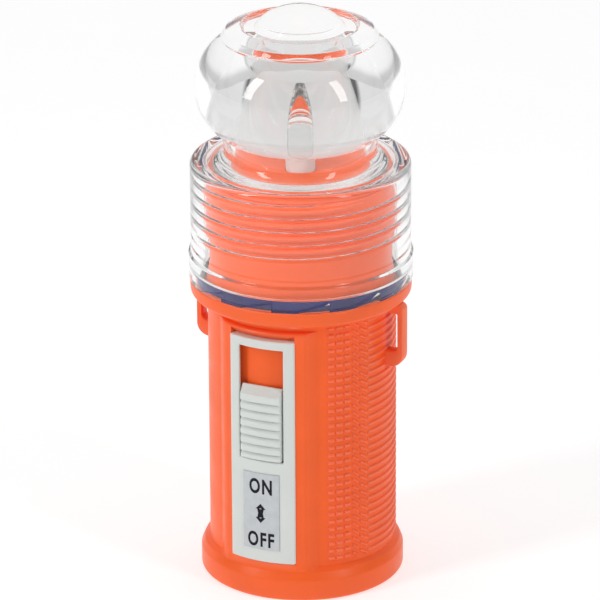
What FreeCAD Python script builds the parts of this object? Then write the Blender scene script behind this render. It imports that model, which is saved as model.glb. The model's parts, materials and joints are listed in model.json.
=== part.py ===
"""LED safety flare: D-cell barrel, sliding magnetic switch and a screw-on clear lens.

Millimetres, +Z up, origin at the centre of the foot's underside. The switch faces -Y and
the two strap loops are on the X axis.
"""
import FreeCAD, Part
import math
import os
import Sketcher
from FreeCAD import Placement, Rotation, Vector

doc = FreeCAD.newDocument("SafetyFlare")
sheet = doc.addObject("Spreadsheet::Sheet", "Dims")


# ---------------------------------------------------------------- sizes and formulas

class Dim:
    """A size that carries its number together with the spreadsheet formula that gives it."""

    def __init__(self, value, text):
        self.value = float(value)
        self.text = text

    def __add__(self, other):
        other = as_dim(other)
        return Dim(self.value + other.value, f"({self.text} + {other.text})")

    def __sub__(self, other):
        other = as_dim(other)
        return Dim(self.value - other.value, f"({self.text} - {other.text})")

    def __mul__(self, other):
        other = as_dim(other)
        return Dim(self.value * other.value, f"({self.text} * {other.text})")

    def __truediv__(self, other):
        other = as_dim(other)
        return Dim(self.value / other.value, f"({self.text} / {other.text})")

    def __neg__(self):
        return Dim(-self.value, f"(0 - {self.text})")

    def __radd__(self, other):
        return as_dim(other) + self

    def __rsub__(self, other):
        return as_dim(other) - self

    def __rmul__(self, other):
        return as_dim(other) * self


def as_dim(number):
    """A plain number as a Dim, so that formulas may mix the two."""
    if isinstance(number, Dim):
        return number
    return Dim(number, f"{float(number):g}")


sheet_row = 1


def size(alias, value):
    """Put one driving size in the sheet and return it as a Dim."""
    global sheet_row
    cell = f"B{sheet_row}"
    sheet.set(f"A{sheet_row}", alias)
    sheet.set(cell, f"{value:g}")
    sheet.setAlias(cell, alias)
    sheet_row += 1
    return Dim(value, f"Dims.{alias}")


GAP = size("running_gap", 0.3)          # between pieces that move on each other
SEAT = size("seat_gap", 0.05)           # between pieces that only rest together

# barrel
FOOT_R = size("foot_radius", 21.1)
FOOT_TOP = size("foot_top", 4.2)
BARREL_R = size("barrel_radius", 19.25)
BARREL_BASE = size("barrel_base", 6.8)
BARREL_TOP = size("barrel_top", 60.2)
CAVITY_R = size("cavity_radius", 17.4)
FLOOR = size("cavity_floor", 2.4)
COLLAR_R = size("collar_radius", 22.85)
COLLAR_TOP = size("collar_top", 64.5)
NECK_R = size("neck_radius", 18.9)
NECK_TOP = size("neck_top", 86.8)
PAD_R = size("pad_radius", 20.3)
PAD_ANGLE = size("pad_half_angle", 34.8)
RECESS_R = size("recess_radius", 18.65)

# grip
RIB_HEIGHT = size("rib_height", 0.35)
RIB_WIDTH = size("rib_width", 0.9)
RIB_PITCH = size("rib_pitch", 1.65)
RIB_COUNT = size("rib_count", 32)
RIB_FIRST = size("rib_first", 8.5)
GRIP_START = size("grip_start_angle", 40.5)
GRIP_END = size("grip_end_angle", 77.5)
COLUMN_ANGLE = size("column_angle", 5.3)
COLUMN_GAP = size("column_gap_angle", 1.3)
COLUMN_GAPS = size("column_gaps", 5)

# strap loops
LOOP_R = size("loop_outer", 23.3)
LOOP_BAR = size("loop_bar", 1.2)
LOOP_WIDTH = size("loop_width", 2.8)
LOOP_BOTTOM = size("loop_bottom", 47.7)
SLOT_BOTTOM = size("slot_bottom", 51.2)
SLOT_TOP = size("slot_top", 59.5)
SLOT_FLAT = size("slot_flat", 19.3)

# screw thread
PITCH = size("thread_pitch", 2.85)
THREAD_START = size("thread_start", 73.9)
THREAD_TRAVEL = size("thread_travel", 11.2)
THREAD_CREST = size("thread_crest", 19.7)
THREAD_ROOT_W = size("thread_root_width", 1.3)
THREAD_CREST_W = size("thread_crest_width", 0.6)
LENS_TURNS = size("lens_thread_turns", 3.8)

# lens
FLANGE_R = size("flange_radius", 23.1)
FLANGE_TOP = size("flange_top", 70.0)
SKIRT_R = size("skirt_radius", 22.65)
SKIRT_BORE = size("skirt_bore", 20.0)
SHOULDER = size("shoulder_height", 89.9)
WAIST_R = size("waist_radius", 15.6)
WAIST = size("waist_height", 95.3)
GLOBE_R = size("globe_radius", 21.45)
GLOBE_MID = size("globe_middle", 105.6)
CROWN_R = size("crown_radius", 15.8)
CROWN = size("crown_height", 115.9)
DOME_R = size("dome_radius", 8.5)
DOME_BASE = size("dome_base", 119.4)
DOME_TOP = size("dome_top", 122.6)
BELL_R = size("bell_mouth_radius", 13.6)
BELL_TOP_R = size("bell_top_radius", 9.4)
BELL_TOP = size("bell_top", 110.4)
LIP_BORE = size("lip_bore", 21.5)
SEAL_ROOM = size("seal_room", 2.6)
TOOTH_COUNT = size("tooth_count", 12)
TOOTH_HALF = size("tooth_half_length", 3.4)
TOOTH_DEPTH = size("tooth_depth", 1.7)

# switch
BEZEL_R = size("bezel_radius", 20.7)
BEZEL_ANGLE = size("bezel_half_angle", 20.2)
BEZEL_BOTTOM = size("bezel_bottom", 8.1)
BEZEL_TOP = size("bezel_top", 57.4)
WINDOW_W = size("window_width", 9.8)
WINDOW_BOTTOM = size("window_bottom", 30.7)
WINDOW_TOP = size("window_top", 55.5)
KNOB_FACE = size("knob_face", 21.2)
KNOB_TOP = size("knob_top", 46.8)
KNOB_RIBS = size("knob_ribs", 8)
KNOB_PITCH = size("knob_pitch", 1.8)
LABEL_ANGLE = size("label_half_angle", 11.2)
LABEL_BOTTOM = size("label_bottom", 10.9)
LABEL_TOP = size("label_top", 27.9)

# D cell and what touches it
CELL_R = size("cell_radius", 16.85)
CAN_R = size("can_radius", 16.2)
CELL_BOTTOM = size("cell_bottom", 8.0)
CELL_TOP = size("cell_top", 69.5)
NUB_R = size("nub_radius", 4.75)

# lamp module
DECK_R = size("deck_radius", 18.5)
DECK_TUBE_R = size("deck_tube_radius", 17.2)
DECK_TOP = size("deck_top", 87.8)
POST_R = size("post_radius", 3.05)
POST_TOP = size("post_top", 94.6)
LED_R = size("led_radius", 2.5)
LED_TIP = size("led_tip", 103.3)
LEG_SPACING = size("leg_spacing", 2.54)
LEG_W = size("leg_width", 0.5)
BOARD_R = size("board_radius", 15.2)
BOARD_BOTTOM = size("board_bottom", 74.6)
BOARD_THICK = size("board_thickness", 1.6)
SCREW_CIRCLE = size("screw_circle", 12.5)
BOARD_TOP = BOARD_BOTTOM + BOARD_THICK

# reed switch beside the switch recess
REED_ANGLE = size("reed_angle", 27.0)
REED_R = size("reed_radius", 0.85)
REED_OUT = size("reed_offset", 17.8)
REED_SIDE = size("reed_side", 0.8)
REED_BOTTOM = size("reed_bottom", 31.0)
REED_TOP = size("reed_top", 43.0)
LEAD_R = size("lead_radius", 0.3)

doc.recompute()


# ---------------------------------------------------------------- building blocks

nodes = {}


def new_body(label):
    """A PartDesign body that becomes one sub-part."""
    body = doc.addObject("PartDesign::Body", label)
    body.Label = label
    nodes[label] = body
    return body


def origin_part(body, role):
    """One of the body's own origin planes or axes, by its role."""
    for item in body.Origin.OriginFeatures:
        if item.Role == role:
            return item
    raise ValueError(role)


def new_sketch(body, name, plane, lift=None, turn=None):
    """A sketch on an origin plane, lifted along its normal or turned about its upright axis."""
    sketch = body.newObject("Sketcher::SketchObject", f"{body.Name}_{name}")
    sketch.AttachmentSupport = [(origin_part(body, plane), "")]
    sketch.MapMode = "FlatFace"
    if turn is not None:
        sketch.AttachmentOffset = Placement(Vector(0, 0, 0), Rotation(Vector(0, 1, 0), turn.value))
        sketch.setExpression("AttachmentOffset.Rotation.Angle", turn.text)
    if lift is not None:
        sketch.AttachmentOffset = Placement(Vector(0, 0, lift.value), Rotation())
        sketch.setExpression("AttachmentOffset.Base.z", lift.text)
    return sketch


def pin_point(sketch, place, across, up):
    """Hold a sketch point at (across, up) from the sketch's origin by bound constraints."""
    for kind, amount, axis in (("DistanceX", across, -2), ("DistanceY", up, -1)):
        amount = as_dim(amount)
        if abs(amount.value) < 1e-9:
            sketch.addConstraint(Sketcher.Constraint("PointOnObject", *place, axis))
            continue
        ends = (-1, 1, *place)
        if amount.value < 0:
            ends = (*place, -1, 1)
            amount = -amount
        index = sketch.addConstraint(Sketcher.Constraint(kind, *ends, amount.value))
        sketch.setExpression(f"Constraints[{index}]", amount.text)


def outline(body, name, plane, points, arcs=None, lift=None, turn=None):
    """A closed outline through points; arcs[i] is the radius of the arc after point i.

    A positive radius has its centre on the left of the way to the next point.
    """
    arcs = arcs or {}
    sketch = new_sketch(body, name, plane, lift, turn)
    points = [(as_dim(across), as_dim(up)) for across, up in points]
    spots = [Vector(across.value, up.value, 0) for across, up in points]
    starts = []
    ends = []
    for i, here in enumerate(spots):
        there = spots[(i + 1) % len(spots)]
        if i in arcs:
            radius = arcs[i].value
            middle = (here + there) * 0.5
            half = (there - here) * 0.5
            left = Vector(-half.y, half.x, 0)
            left.normalize()
            reach = math.sqrt(max(radius * radius - half.Length ** 2, 0))
            centre = middle + left * math.copysign(reach, radius)
            first, last = (here, there) if radius > 0 else (there, here)
            angles = [math.atan2(p.y - centre.y, p.x - centre.x) for p in (first, last)]
            circle = Part.Circle(centre, Vector(0, 0, 1), abs(radius))
            edge = sketch.addGeometry(Part.ArcOfCircle(circle, *angles), False)
            starts.append((edge, 1 if radius > 0 else 2))
            ends.append((edge, 2 if radius > 0 else 1))
        else:
            edge = sketch.addGeometry(Part.LineSegment(here, there), False)
            starts.append((edge, 1))
            ends.append((edge, 2))
    for i, place in enumerate(starts):
        sketch.addConstraint(Sketcher.Constraint("Coincident", *ends[i - 1], *place))
    for place, (across, up) in zip(starts, points):
        pin_point(sketch, place, across, up)
    for i, radius in arcs.items():
        index = sketch.addConstraint(Sketcher.Constraint("Radius", starts[i][0], abs(radius.value)))
        bound = radius if radius.value > 0 else -radius
        sketch.setExpression(f"Constraints[{index}]", bound.text)
    return sketch


def circles(body, name, plane, centres, radius, lift=None):
    """A sketch of equal circles."""
    sketch = new_sketch(body, name, plane, lift)
    radius = as_dim(radius)
    for across, up in centres:
        across, up = as_dim(across), as_dim(up)
        circle = Part.Circle(Vector(across.value, up.value, 0), Vector(0, 0, 1), radius.value)
        edge = sketch.addGeometry(circle, False)
        pin_point(sketch, (edge, 3), across, up)
        index = sketch.addConstraint(Sketcher.Constraint("Radius", edge, radius.value))
        sketch.setExpression(f"Constraints[{index}]", radius.text)
    return sketch


def feature(body, kind, name, sketch):
    """Add a sketch-based feature to the body."""
    item = body.newObject(f"PartDesign::{kind}", f"{body.Name}_{name}")
    item.Profile = sketch
    return item


def spin(body, name, sketch, half_angle=None, kind="Revolution"):
    """Revolve a sketch about Z, all round or by half_angle to each side of its plane."""
    item = feature(body, kind, name, sketch)
    item.ReferenceAxis = (sketch, ["V_Axis"])
    item.Angle = 360
    if half_angle is not None:
        item.Midplane = True
        item.Angle = 2 * half_angle.value
        item.setExpression("Angle", (2 * half_angle).text)
    doc.recompute()
    return item


def extrude(body, name, sketch, length, kind="Pad", middle=False, flip=False):
    """Pad or pocket a sketch by length, to both sides if middle is set."""
    item = feature(body, kind, name, sketch)
    length = as_dim(length)
    item.Length = length.value
    item.setExpression("Length", length.text)
    if middle:
        item.SideType = "Symmetric"
    item.Reversed = flip
    doc.recompute()
    return item


def cut(body, name, sketch, length, middle=False, flip=False):
    """A pocket that has to remove something."""
    before = body.Shape.Volume
    item = extrude(body, name, sketch, length, "Pocket", middle, flip)
    if body.Shape.Volume > before - 1e-4:
        raise ValueError(f"{body.Label}: {name} cuts nothing")
    return item


def groove(body, name, sketch, half_angle=None):
    """A revolved cut that has to remove something."""
    before = body.Shape.Volume
    item = spin(body, name, sketch, half_angle, "Groove")
    if body.Shape.Volume > before - 1e-4:
        raise ValueError(f"{body.Label}: {name} cuts nothing")
    return item


def polar(body, name, original, count, angle):
    """Repeat a feature about Z through angle degrees."""
    item = body.newObject("PartDesign::PolarPattern", f"{body.Name}_{name}")
    item.Originals = [original]
    item.Axis = (origin_part(body, "Z_Axis"), [""])
    item.Angle = angle.value
    item.setExpression("Angle", angle.text)
    item.Occurrences = int(count.value)
    item.setExpression("Occurrences", count.text)
    body.Tip = item
    doc.recompute()
    return item


def rectangle(left, right, low, high):
    """Corner points of an upright rectangle."""
    return [(left, low), (right, low), (right, high), (left, high)]


def helix(body, name, sketch, pitch, travel):
    """Sweep a sketch along a right-hand helix about Z."""
    item = feature(body, "AdditiveHelix", name, sketch)
    item.ReferenceAxis = (sketch, ["V_Axis"])
    item.Mode = "pitch-height-angle"
    item.Pitch = pitch.value
    item.setExpression("Pitch", pitch.text)
    item.Height = travel.value
    item.setExpression("Height", travel.text)
    item.LeftHanded = False
    item.Reversed = False
    doc.recompute()
    return item


def bind(item, **sizes):
    """Set and bind a primitive's sizes."""
    for prop, amount in sizes.items():
        amount = as_dim(amount)
        setattr(item, prop, amount.value)
        item.setExpression(prop, amount.text)


def move(item, across=0, deep=0, up=0):
    """Bind a primitive's position."""
    across, deep, up = as_dim(across), as_dim(deep), as_dim(up)
    item.Placement = Placement(Vector(across.value, deep.value, up.value), Rotation())
    item.setExpression("Placement.Base.x", across.text)
    item.setExpression("Placement.Base.y", deep.text)
    item.setExpression("Placement.Base.z", up.text)


def block(name, left, right, near, far, low, high):
    """A Part::Box between six bounds."""
    item = doc.addObject("Part::Box", name)
    left, right, near, far, low, high = (as_dim(v) for v in (left, right, near, far, low, high))
    bind(item, Length=right - left, Width=far - near, Height=high - low)
    move(item, left, near, low)
    return item


def rod(name, radius, across, deep, low, high):
    """An upright Part::Cylinder."""
    item = doc.addObject("Part::Cylinder", name)
    low, high = as_dim(low), as_dim(high)
    bind(item, Radius=radius, Height=high - low)
    move(item, across, deep, low)
    return item


def join(label, pieces):
    """Fuse or gather pieces into one sub-part."""
    item = doc.addObject("Part::MultiFuse", label)
    item.Shapes = pieces
    item.Label = label
    nodes[label] = item
    doc.recompute()
    return item


# ---------------------------------------------------------------- body shell

def build_shell():
    """Barrel, foot, collar and neck as one moulding, with pad, grip, loops and thread."""
    body = new_body("body_shell")
    spin(body, "wall", outline(body, "wall_outline", "XZ_Plane", [
        (0, 0.6), (17.5, 0.6), (17.5, 0), (FOOT_R - 0.5, 0), (FOOT_R, 0.5),
        (FOOT_R, FOOT_TOP), (FOOT_R - 0.5, BARREL_BASE - 1.0), (BARREL_R, BARREL_BASE),
        (BARREL_R, BARREL_TOP), (COLLAR_R - 2.0, BARREL_TOP + 0.4),
        (COLLAR_R - 0.1, BARREL_TOP + 1.5), (COLLAR_R, COLLAR_TOP),
        (NECK_R, COLLAR_TOP), (NECK_R, NECK_TOP - 0.4), (NECK_R - 0.4, NECK_TOP),
        (CAVITY_R, NECK_TOP), (CAVITY_R, FLOOR), (0, FLOOR),
    ]))

    # grip ribs run round the back from one edge of the plain front to the other; the plain
    # front reaches further round on the left
    low = RIB_FIRST - RIB_WIDTH / 2
    high = RIB_FIRST + RIB_WIDTH / 2
    crest = BARREL_R + RIB_HEIGHT
    rib = spin(body, "rib", outline(body, "rib_outline", "YZ_Plane", [
        (BARREL_R - 0.3, low), (BARREL_R, low), (crest, low + 0.25),
        (crest, high - 0.25), (BARREL_R, high), (BARREL_R - 0.3, high),
    ], turn=(GRIP_START - GRIP_END) / 2), 180 - (GRIP_START + GRIP_END) / 2)
    ribs = body.newObject("PartDesign::LinearPattern", "body_shell_ribs")
    ribs.Originals = [rib]
    ribs.Direction = (origin_part(body, "Z_Axis"), [""])
    bind(ribs, Length=RIB_PITCH * (RIB_COUNT - 1))
    ribs.Occurrences = int(RIB_COUNT.value)
    ribs.setExpression("Occurrences", RIB_COUNT.text)
    body.Tip = ribs
    doc.recompute()

    # upright gaps split the ribs to the right of the front into columns
    gap = groove(body, "gap", outline(body, "gap_outline", "YZ_Plane",
                 rectangle(0 - crest - 0.5, 0.05 - BARREL_R, 7.4, BARREL_TOP - 0.3),
                 turn=GRIP_START + COLUMN_ANGLE - COLUMN_GAP / 2), COLUMN_GAP / 2)
    polar(body, "gaps", gap, COLUMN_GAPS, COLUMN_ANGLE * (COLUMN_GAPS - 1))

    # front pad and the recess that takes the switch frame
    spin(body, "pad", outline(body, "pad_outline", "YZ_Plane",
         rectangle(0 - PAD_R, 0.4 - BARREL_R, BARREL_BASE - 0.6, BARREL_TOP - 0.8)), PAD_ANGLE)
    groove(body, "recess", outline(body, "recess_outline", "YZ_Plane",
           rectangle(-24, 0 - RECESS_R, BEZEL_BOTTOM - 0.1, BEZEL_TOP + 0.1)),
           BEZEL_ANGLE + 0.15)

    # strap loops
    # outer edge of a loop: how far in from its widest point, and how high
    curve = [(0, 4.0), (0.3, 2.7), (1.1, 1.4), (2.3, 0.5), (4.2, 0)]
    for side, sign in (("right", 1), ("left", -1)):
        points = [(sign * (BARREL_R - 0.8), BARREL_TOP + 1.4), (sign * LOOP_R, BARREL_TOP + 1.4)]
        points += [(sign * (LOOP_R - inward), LOOP_BOTTOM + up) for inward, up in curve]
        points.append((sign * (BARREL_R - 0.8), LOOP_BOTTOM))
        extrude(body, f"loop_{side}", outline(body, f"loop_outline_{side}", "XZ_Plane", points),
                LOOP_WIDTH, middle=True)
    for side, sign in (("right", 1), ("left", -1)):
        edges = sorted((sign * SLOT_FLAT, sign * (LOOP_R - LOOP_BAR)), key=lambda d: d.value)
        cut(body, f"slot_{side}", outline(body, f"slot_outline_{side}", "XZ_Plane",
            rectangle(*edges, SLOT_BOTTOM, SLOT_TOP)), LOOP_WIDTH + 4.0, middle=True)

    # channel in the inner wall for the reed switch and its two wires
    wires = rectangle(CAVITY_R - 1, REED_OUT + 0.5, 22, BOARD_BOTTOM)
    groove(body, "wire_channel", outline(body, "wire_channel_outline", "YZ_Plane",
           [(0 - across, up) for across, up in wires], turn=REED_ANGLE), as_dim(6.5))
    pocket = rectangle(CAVITY_R - 1, REED_OUT + 1.0, REED_BOTTOM - 3, REED_TOP + 3)
    groove(body, "reed_pocket", outline(body, "reed_pocket_outline", "YZ_Plane",
           [(0 - across, up) for across, up in pocket], turn=REED_ANGLE), as_dim(6.4))

    # outside thread
    base = THREAD_START
    slope = (THREAD_ROOT_W - THREAD_CREST_W) / 2
    helix(body, "thread", outline(body, "thread_outline", "XZ_Plane", [
        (NECK_R - 0.2, base), (NECK_R, base), (THREAD_CREST, base + slope),
        (THREAD_CREST, base + THREAD_ROOT_W - slope), (NECK_R, base + THREAD_ROOT_W),
        (NECK_R - 0.2, base + THREAD_ROOT_W),
    ]), PITCH, THREAD_TRAVEL)
    return body


# ---------------------------------------------------------------- lens cap and seal

def build_lens():
    """Clear moulded cap: flange, skirt, globe, dome lens, hollow bell and inside thread."""
    body = new_body("lens_cap")
    lip = COLLAR_TOP + GAP
    seat = COLLAR_TOP + SEAL_ROOM
    globe_low = as_dim(12.0)
    globe_high = as_dim(11.9)
    ceiling = SHOULDER - 1.3
    rise = DOME_TOP - DOME_BASE
    dome = (DOME_R * DOME_R + rise * rise) / (2 * rise)
    spin(body, "wall", outline(body, "wall_outline", "XZ_Plane", [
        (LIP_BORE, lip), (FLANGE_R, lip), (FLANGE_R, FLANGE_TOP),
        (SKIRT_R + 0.1, FLANGE_TOP + 0.4), (SKIRT_R, SHOULDER - 0.4),
        (SKIRT_R - 0.4, SHOULDER), (WAIST_R + 0.3, SHOULDER), (WAIST_R, WAIST),
        (GLOBE_R, GLOBE_MID), (CROWN_R, CROWN), (CROWN_R + 0.3, CROWN + 0.4),
        (CROWN_R - 0.5, CROWN + 1.6), (13.2, CROWN + 2.5), (12.0, CROWN + 2.8),
        (11.4, CROWN + 2.2), (DOME_R + 0.8, CROWN + 2.2), (DOME_R, DOME_BASE),
        (0, DOME_TOP), (0, BELL_TOP + 0.6), (BELL_TOP_R - 2.6, BELL_TOP + 0.4),
        (BELL_TOP_R, BELL_TOP - 1.4), (12.3, 101.0), (13.2, 96.0), (BELL_R, ceiling),
        (SKIRT_BORE, ceiling), (SKIRT_BORE, seat), (LIP_BORE, seat),
    ], arcs={7: globe_low, 8: globe_high, 16: dome}))

    # inside thread, half a pitch above the neck's thread
    half = as_dim(0.45)
    crest = as_dim(0.2)
    centre = THREAD_START + THREAD_ROOT_W / 2 + PITCH / 2
    tip = NECK_R + 0.3
    helix(body, "thread", outline(body, "thread_outline", "XZ_Plane", [
        (SKIRT_BORE + 0.3, centre - half), (SKIRT_BORE, centre - half), (tip, centre - crest),
        (tip, centre + crest), (SKIRT_BORE, centre + half), (SKIRT_BORE + 0.3, centre + half),
    ]), PITCH, LENS_TURNS * PITCH)

    # ratchet teeth: wedge pockets in the lip's inner half, open below
    notch = cut(body, "notch", outline(body, "notch_outline", "XZ_Plane", [
        (0 - TOOTH_HALF, lip - 0.2), (TOOTH_HALF, lip - 0.2), (TOOTH_HALF, lip + TOOTH_DEPTH),
        (0 - TOOTH_HALF, lip),
    ]), FLANGE_R - 0.8, flip=True)
    polar(body, "notches", notch, TOOTH_COUNT, as_dim(360))
    return body


def build_seal():
    """Rubber ring between the collar and the lens flange."""
    body = new_body("seal_ring")
    low = COLLAR_TOP + SEAT
    high = COLLAR_TOP + SEAL_ROOM - GAP
    inner = SKIRT_BORE + 0.15
    outer = LIP_BORE - GAP
    spin(body, "ring", outline(body, "ring_outline", "XZ_Plane", [
        (inner + 0.3, low), (outer - 0.3, low), (outer, low + 0.3), (outer, high - 0.3),
        (outer - 0.3, high), (inner + 0.3, high), (inner, high - 0.3), (inner, low + 0.3),
    ]))
    return body


# ---------------------------------------------------------------- switch

def build_bezel():
    """Curved white frame with the slider's window and a shallow seat for the label."""
    body = new_body("switch_bezel")
    inner = RECESS_R + SEAT
    spin(body, "plate", outline(body, "plate_outline", "YZ_Plane", [
        (0 - inner, BEZEL_BOTTOM), (0 - inner, BEZEL_TOP), (0.35 - BEZEL_R, BEZEL_TOP),
        (0 - BEZEL_R, BEZEL_TOP - 0.35), (0 - BEZEL_R, BEZEL_BOTTOM + 0.35),
        (0.35 - BEZEL_R, BEZEL_BOTTOM),
    ]), BEZEL_ANGLE)
    half = WINDOW_W / 2
    cut(body, "window", outline(body, "window_outline", "XZ_Plane",
        rectangle(0 - half, half, WINDOW_BOTTOM, WINDOW_TOP)), 25, flip=True)
    # side grooves that keep the slider in
    cut(body, "tracks", outline(body, "tracks_outline", "YZ_Plane",
        rectangle(-19.5, -18.5, WINDOW_BOTTOM, WINDOW_TOP)), WINDOW_W + 1.2, middle=True)
    groove(body, "label_seat", outline(body, "label_seat_outline", "YZ_Plane",
           rectangle(-21.5, 0.15 - BEZEL_R, LABEL_BOTTOM - 0.1, LABEL_TOP + 0.1)),
           LABEL_ANGLE + 0.3)
    return body


def build_knob():
    """Ribbed slider; its ears run in the frame's side grooves."""
    body = new_body("slide_knob")
    back = RECESS_R + GAP
    base = WINDOW_BOTTOM + GAP
    face = KNOB_FACE
    points = [(0 - back, base), (0 - back, KNOB_TOP), (0.2 - face, KNOB_TOP - 1.2)]
    for i in range(int(KNOB_RIBS.value)):
        top = KNOB_TOP - 1.4 - i * KNOB_PITCH
        points += [(0 - face, top), (0 - face, top - 0.9), (0.5 - face, top - 1.1),
                   (0.5 - face, top - 1.5)]
    points[-1] = (0.5 - face, base)
    half = WINDOW_W / 2 - GAP
    extrude(body, "block", outline(body, "block_outline", "YZ_Plane", points),
            2 * half, middle=True)
    extrude(body, "ears", outline(body, "ears_outline", "YZ_Plane",
            rectangle(-19.2, -18.96, base, KNOB_TOP - 2)), 2 * half + 1.2, middle=True)
    cut(body, "magnet_seat", outline(body, "magnet_seat_outline", "XZ_Plane",
        rectangle(-3.1, 3.1, 37.9, 41.1)), 20.5, flip=True)
    cut(body, "spring_seat", outline(body, "spring_seat_outline", "XZ_Plane",
        rectangle(-1.6, 1.6, base + 1, base + 5.6)), 20.3, flip=True)
    return body


def build_magnet():
    """Bar magnet in the slider's back."""
    item = block("slide_magnet", -3, 3, -20.45, 0 - RECESS_R - GAP - 0.1, 38, 41)
    item.Label = "slide_magnet"
    nodes["slide_magnet"] = item
    return item


def build_detent():
    """Bowed leaf spring in the slider's back."""
    body = new_body("detent_spring")
    base = WINDOW_BOTTOM + GAP
    low, middle, high = base + 1.1, base + 3.3, base + 5.5
    outline_points = [
        (-20.2, low), (-20.0, low), (-19.0, middle), (-20.0, high),
        (-20.2, high), (-19.2, middle),
    ]
    extrude(body, "leaf", outline(body, "leaf_outline", "YZ_Plane", outline_points),
            2.6, middle=True)
    return body


def build_label():
    """Thin curved label plate under the slider."""
    body = new_body("switch_label")
    inner = BEZEL_R - 0.14
    spin(body, "plate", outline(body, "plate_outline", "YZ_Plane",
         rectangle(0 - inner - 0.16, 0 - inner, LABEL_BOTTOM, LABEL_TOP)), LABEL_ANGLE)
    return body


# ---------------------------------------------------------------- reed switch and wires

def build_reed():
    """Glass reed capsule with its leads, upright in the wall channel."""
    angle = math.radians(REED_ANGLE.value)
    x = REED_OUT.value * math.sin(angle) - REED_SIDE.value * math.cos(angle)
    y = -REED_OUT.value * math.cos(angle) - REED_SIDE.value * math.sin(angle)
    body = doc.addObject("PartDesign::Body", "reed_capsule")
    spin(body, "tube", outline(body, "tube_outline", "XZ_Plane", [
        (0, REED_BOTTOM), (REED_R - 0.35, REED_BOTTOM), (REED_R, REED_BOTTOM + 0.8),
        (REED_R, REED_TOP - 0.8), (REED_R - 0.35, REED_TOP), (0, REED_TOP),
    ]))
    body.Placement = Placement(Vector(x, y, 0), Rotation())
    middle = (REED_BOTTOM + REED_TOP) / 2
    lower = rod("reed_lower", LEAD_R, x, y, REED_BOTTOM - 4, middle - 0.2)
    upper = rod("reed_upper", LEAD_R, x, y, REED_TOP - 4, REED_TOP + 4)
    blade = block("reed_blade", x - 0.25, x + 0.25, y - 0.12, y + 0.12,
                  middle + 0.4, REED_TOP - 4)
    upper_set = doc.addObject("Part::MultiFuse", "reed_upper_set")
    upper_set.Shapes = [upper, blade]
    leads = join("reed_leads", [lower, upper_set])
    glass = doc.addObject("Part::Cut", "reed_glass")
    glass.Base = body
    glass.Tool = leads
    glass.Label = "reed_glass"
    nodes["reed_glass"] = glass
    doc.recompute()
    return glass


def wire_run(name, points, radius):
    """Straight wire lengths with round joints through points given as (out, side, up)."""
    angle = math.radians(REED_ANGLE.value)
    spots = [Vector(out * math.sin(angle) + side * math.cos(angle),
                    -out * math.cos(angle) + side * math.sin(angle), up)
             for out, side, up in points]
    pieces = []
    for i, (here, there) in enumerate(zip(spots, spots[1:])):
        run = doc.addObject("Part::Cylinder", f"{name}_run{i}")
        bind(run, Radius=radius, Height=(there - here).Length)
        run.Placement = Placement(here, Rotation(Vector(0, 0, 1), there - here))
        pieces.append(run)
        if i:
            ball = doc.addObject("Part::Sphere", f"{name}_bend{i}")
            bind(ball, Radius=radius)
            ball.Placement = Placement(here, Rotation())
            pieces.append(ball)
    wire = doc.addObject("Part::MultiFuse", name)
    wire.Shapes = pieces
    return wire


def build_wires():
    """The two insulated leads from the reed switch up to the circuit board."""
    radius = LEAD_R + 0.1
    out = REED_OUT.value - 0.05
    side = REED_SIDE.value
    under = BOARD_BOTTOM.value - 1.3
    top = BOARD_TOP.value + 0.3
    start = REED_TOP.value + 4.05
    end = REED_BOTTOM.value - 4.05
    long_wire = wire_run("wire_a", [
        (out, -side, start), (out, -side, under), (13.6, -side, under), (13.6, -side, top),
    ], radius)
    return_wire = wire_run("wire_b", [
        (out, -side, end), (out, -side, end - 1.5), (out, side, end - 1.5),
        (out, side, under), (13.6, side + 0.6, under), (13.6, side + 0.6, top),
    ], radius)
    return join("switch_wires", [long_wire, return_wire])


# ---------------------------------------------------------------- D cell and contacts

def build_cell():
    """The D cell in five pieces: can, core, jacket, seal and positive cap."""
    crimp = CELL_TOP - 3.1
    core = CAN_R - 0.35
    parts = {
        "battery_can": [(0, CELL_BOTTOM), (CAN_R - 1.2, CELL_BOTTOM),
                        (CAN_R, CELL_BOTTOM + 0.7), (CAN_R, crimp), (core, crimp),
                        (core, CELL_BOTTOM + 0.4), (0, CELL_BOTTOM + 0.4)],
        "battery_core": [(0, CELL_BOTTOM + 0.5), (core - 0.2, CELL_BOTTOM + 0.5),
                         (core - 0.2, crimp), (0, crimp)],
        "battery_jacket": [(CAN_R + 0.05, CELL_BOTTOM + 0.7), (CELL_R, CELL_BOTTOM + 0.7),
                           (CELL_R, crimp + 1.2), (CELL_R - 0.3, crimp + 1.5),
                           (CAN_R - 1.6, crimp + 1.5), (CAN_R - 1.6, crimp + 1.2),
                           (CAN_R + 0.05, crimp + 1.2)],
        "battery_seal": [(0, crimp + 0.05), (CAN_R, crimp + 0.05), (CAN_R, crimp + 1.15),
                         (0, crimp + 1.15)],
        "battery_cap": [(0, crimp + 1.2), (CAN_R - 1.7, crimp + 1.2),
                        (CAN_R - 1.7, crimp + 1.6), (NUB_R + 0.4, crimp + 1.6),
                        (NUB_R, crimp + 2.0), (NUB_R, CELL_TOP - 0.3),
                        (NUB_R - 0.3, CELL_TOP), (0, CELL_TOP)],
    }
    for label, points in parts.items():
        body = new_body(label)
        spin(body, "shape", outline(body, "outline", "XZ_Plane", points))


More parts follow.
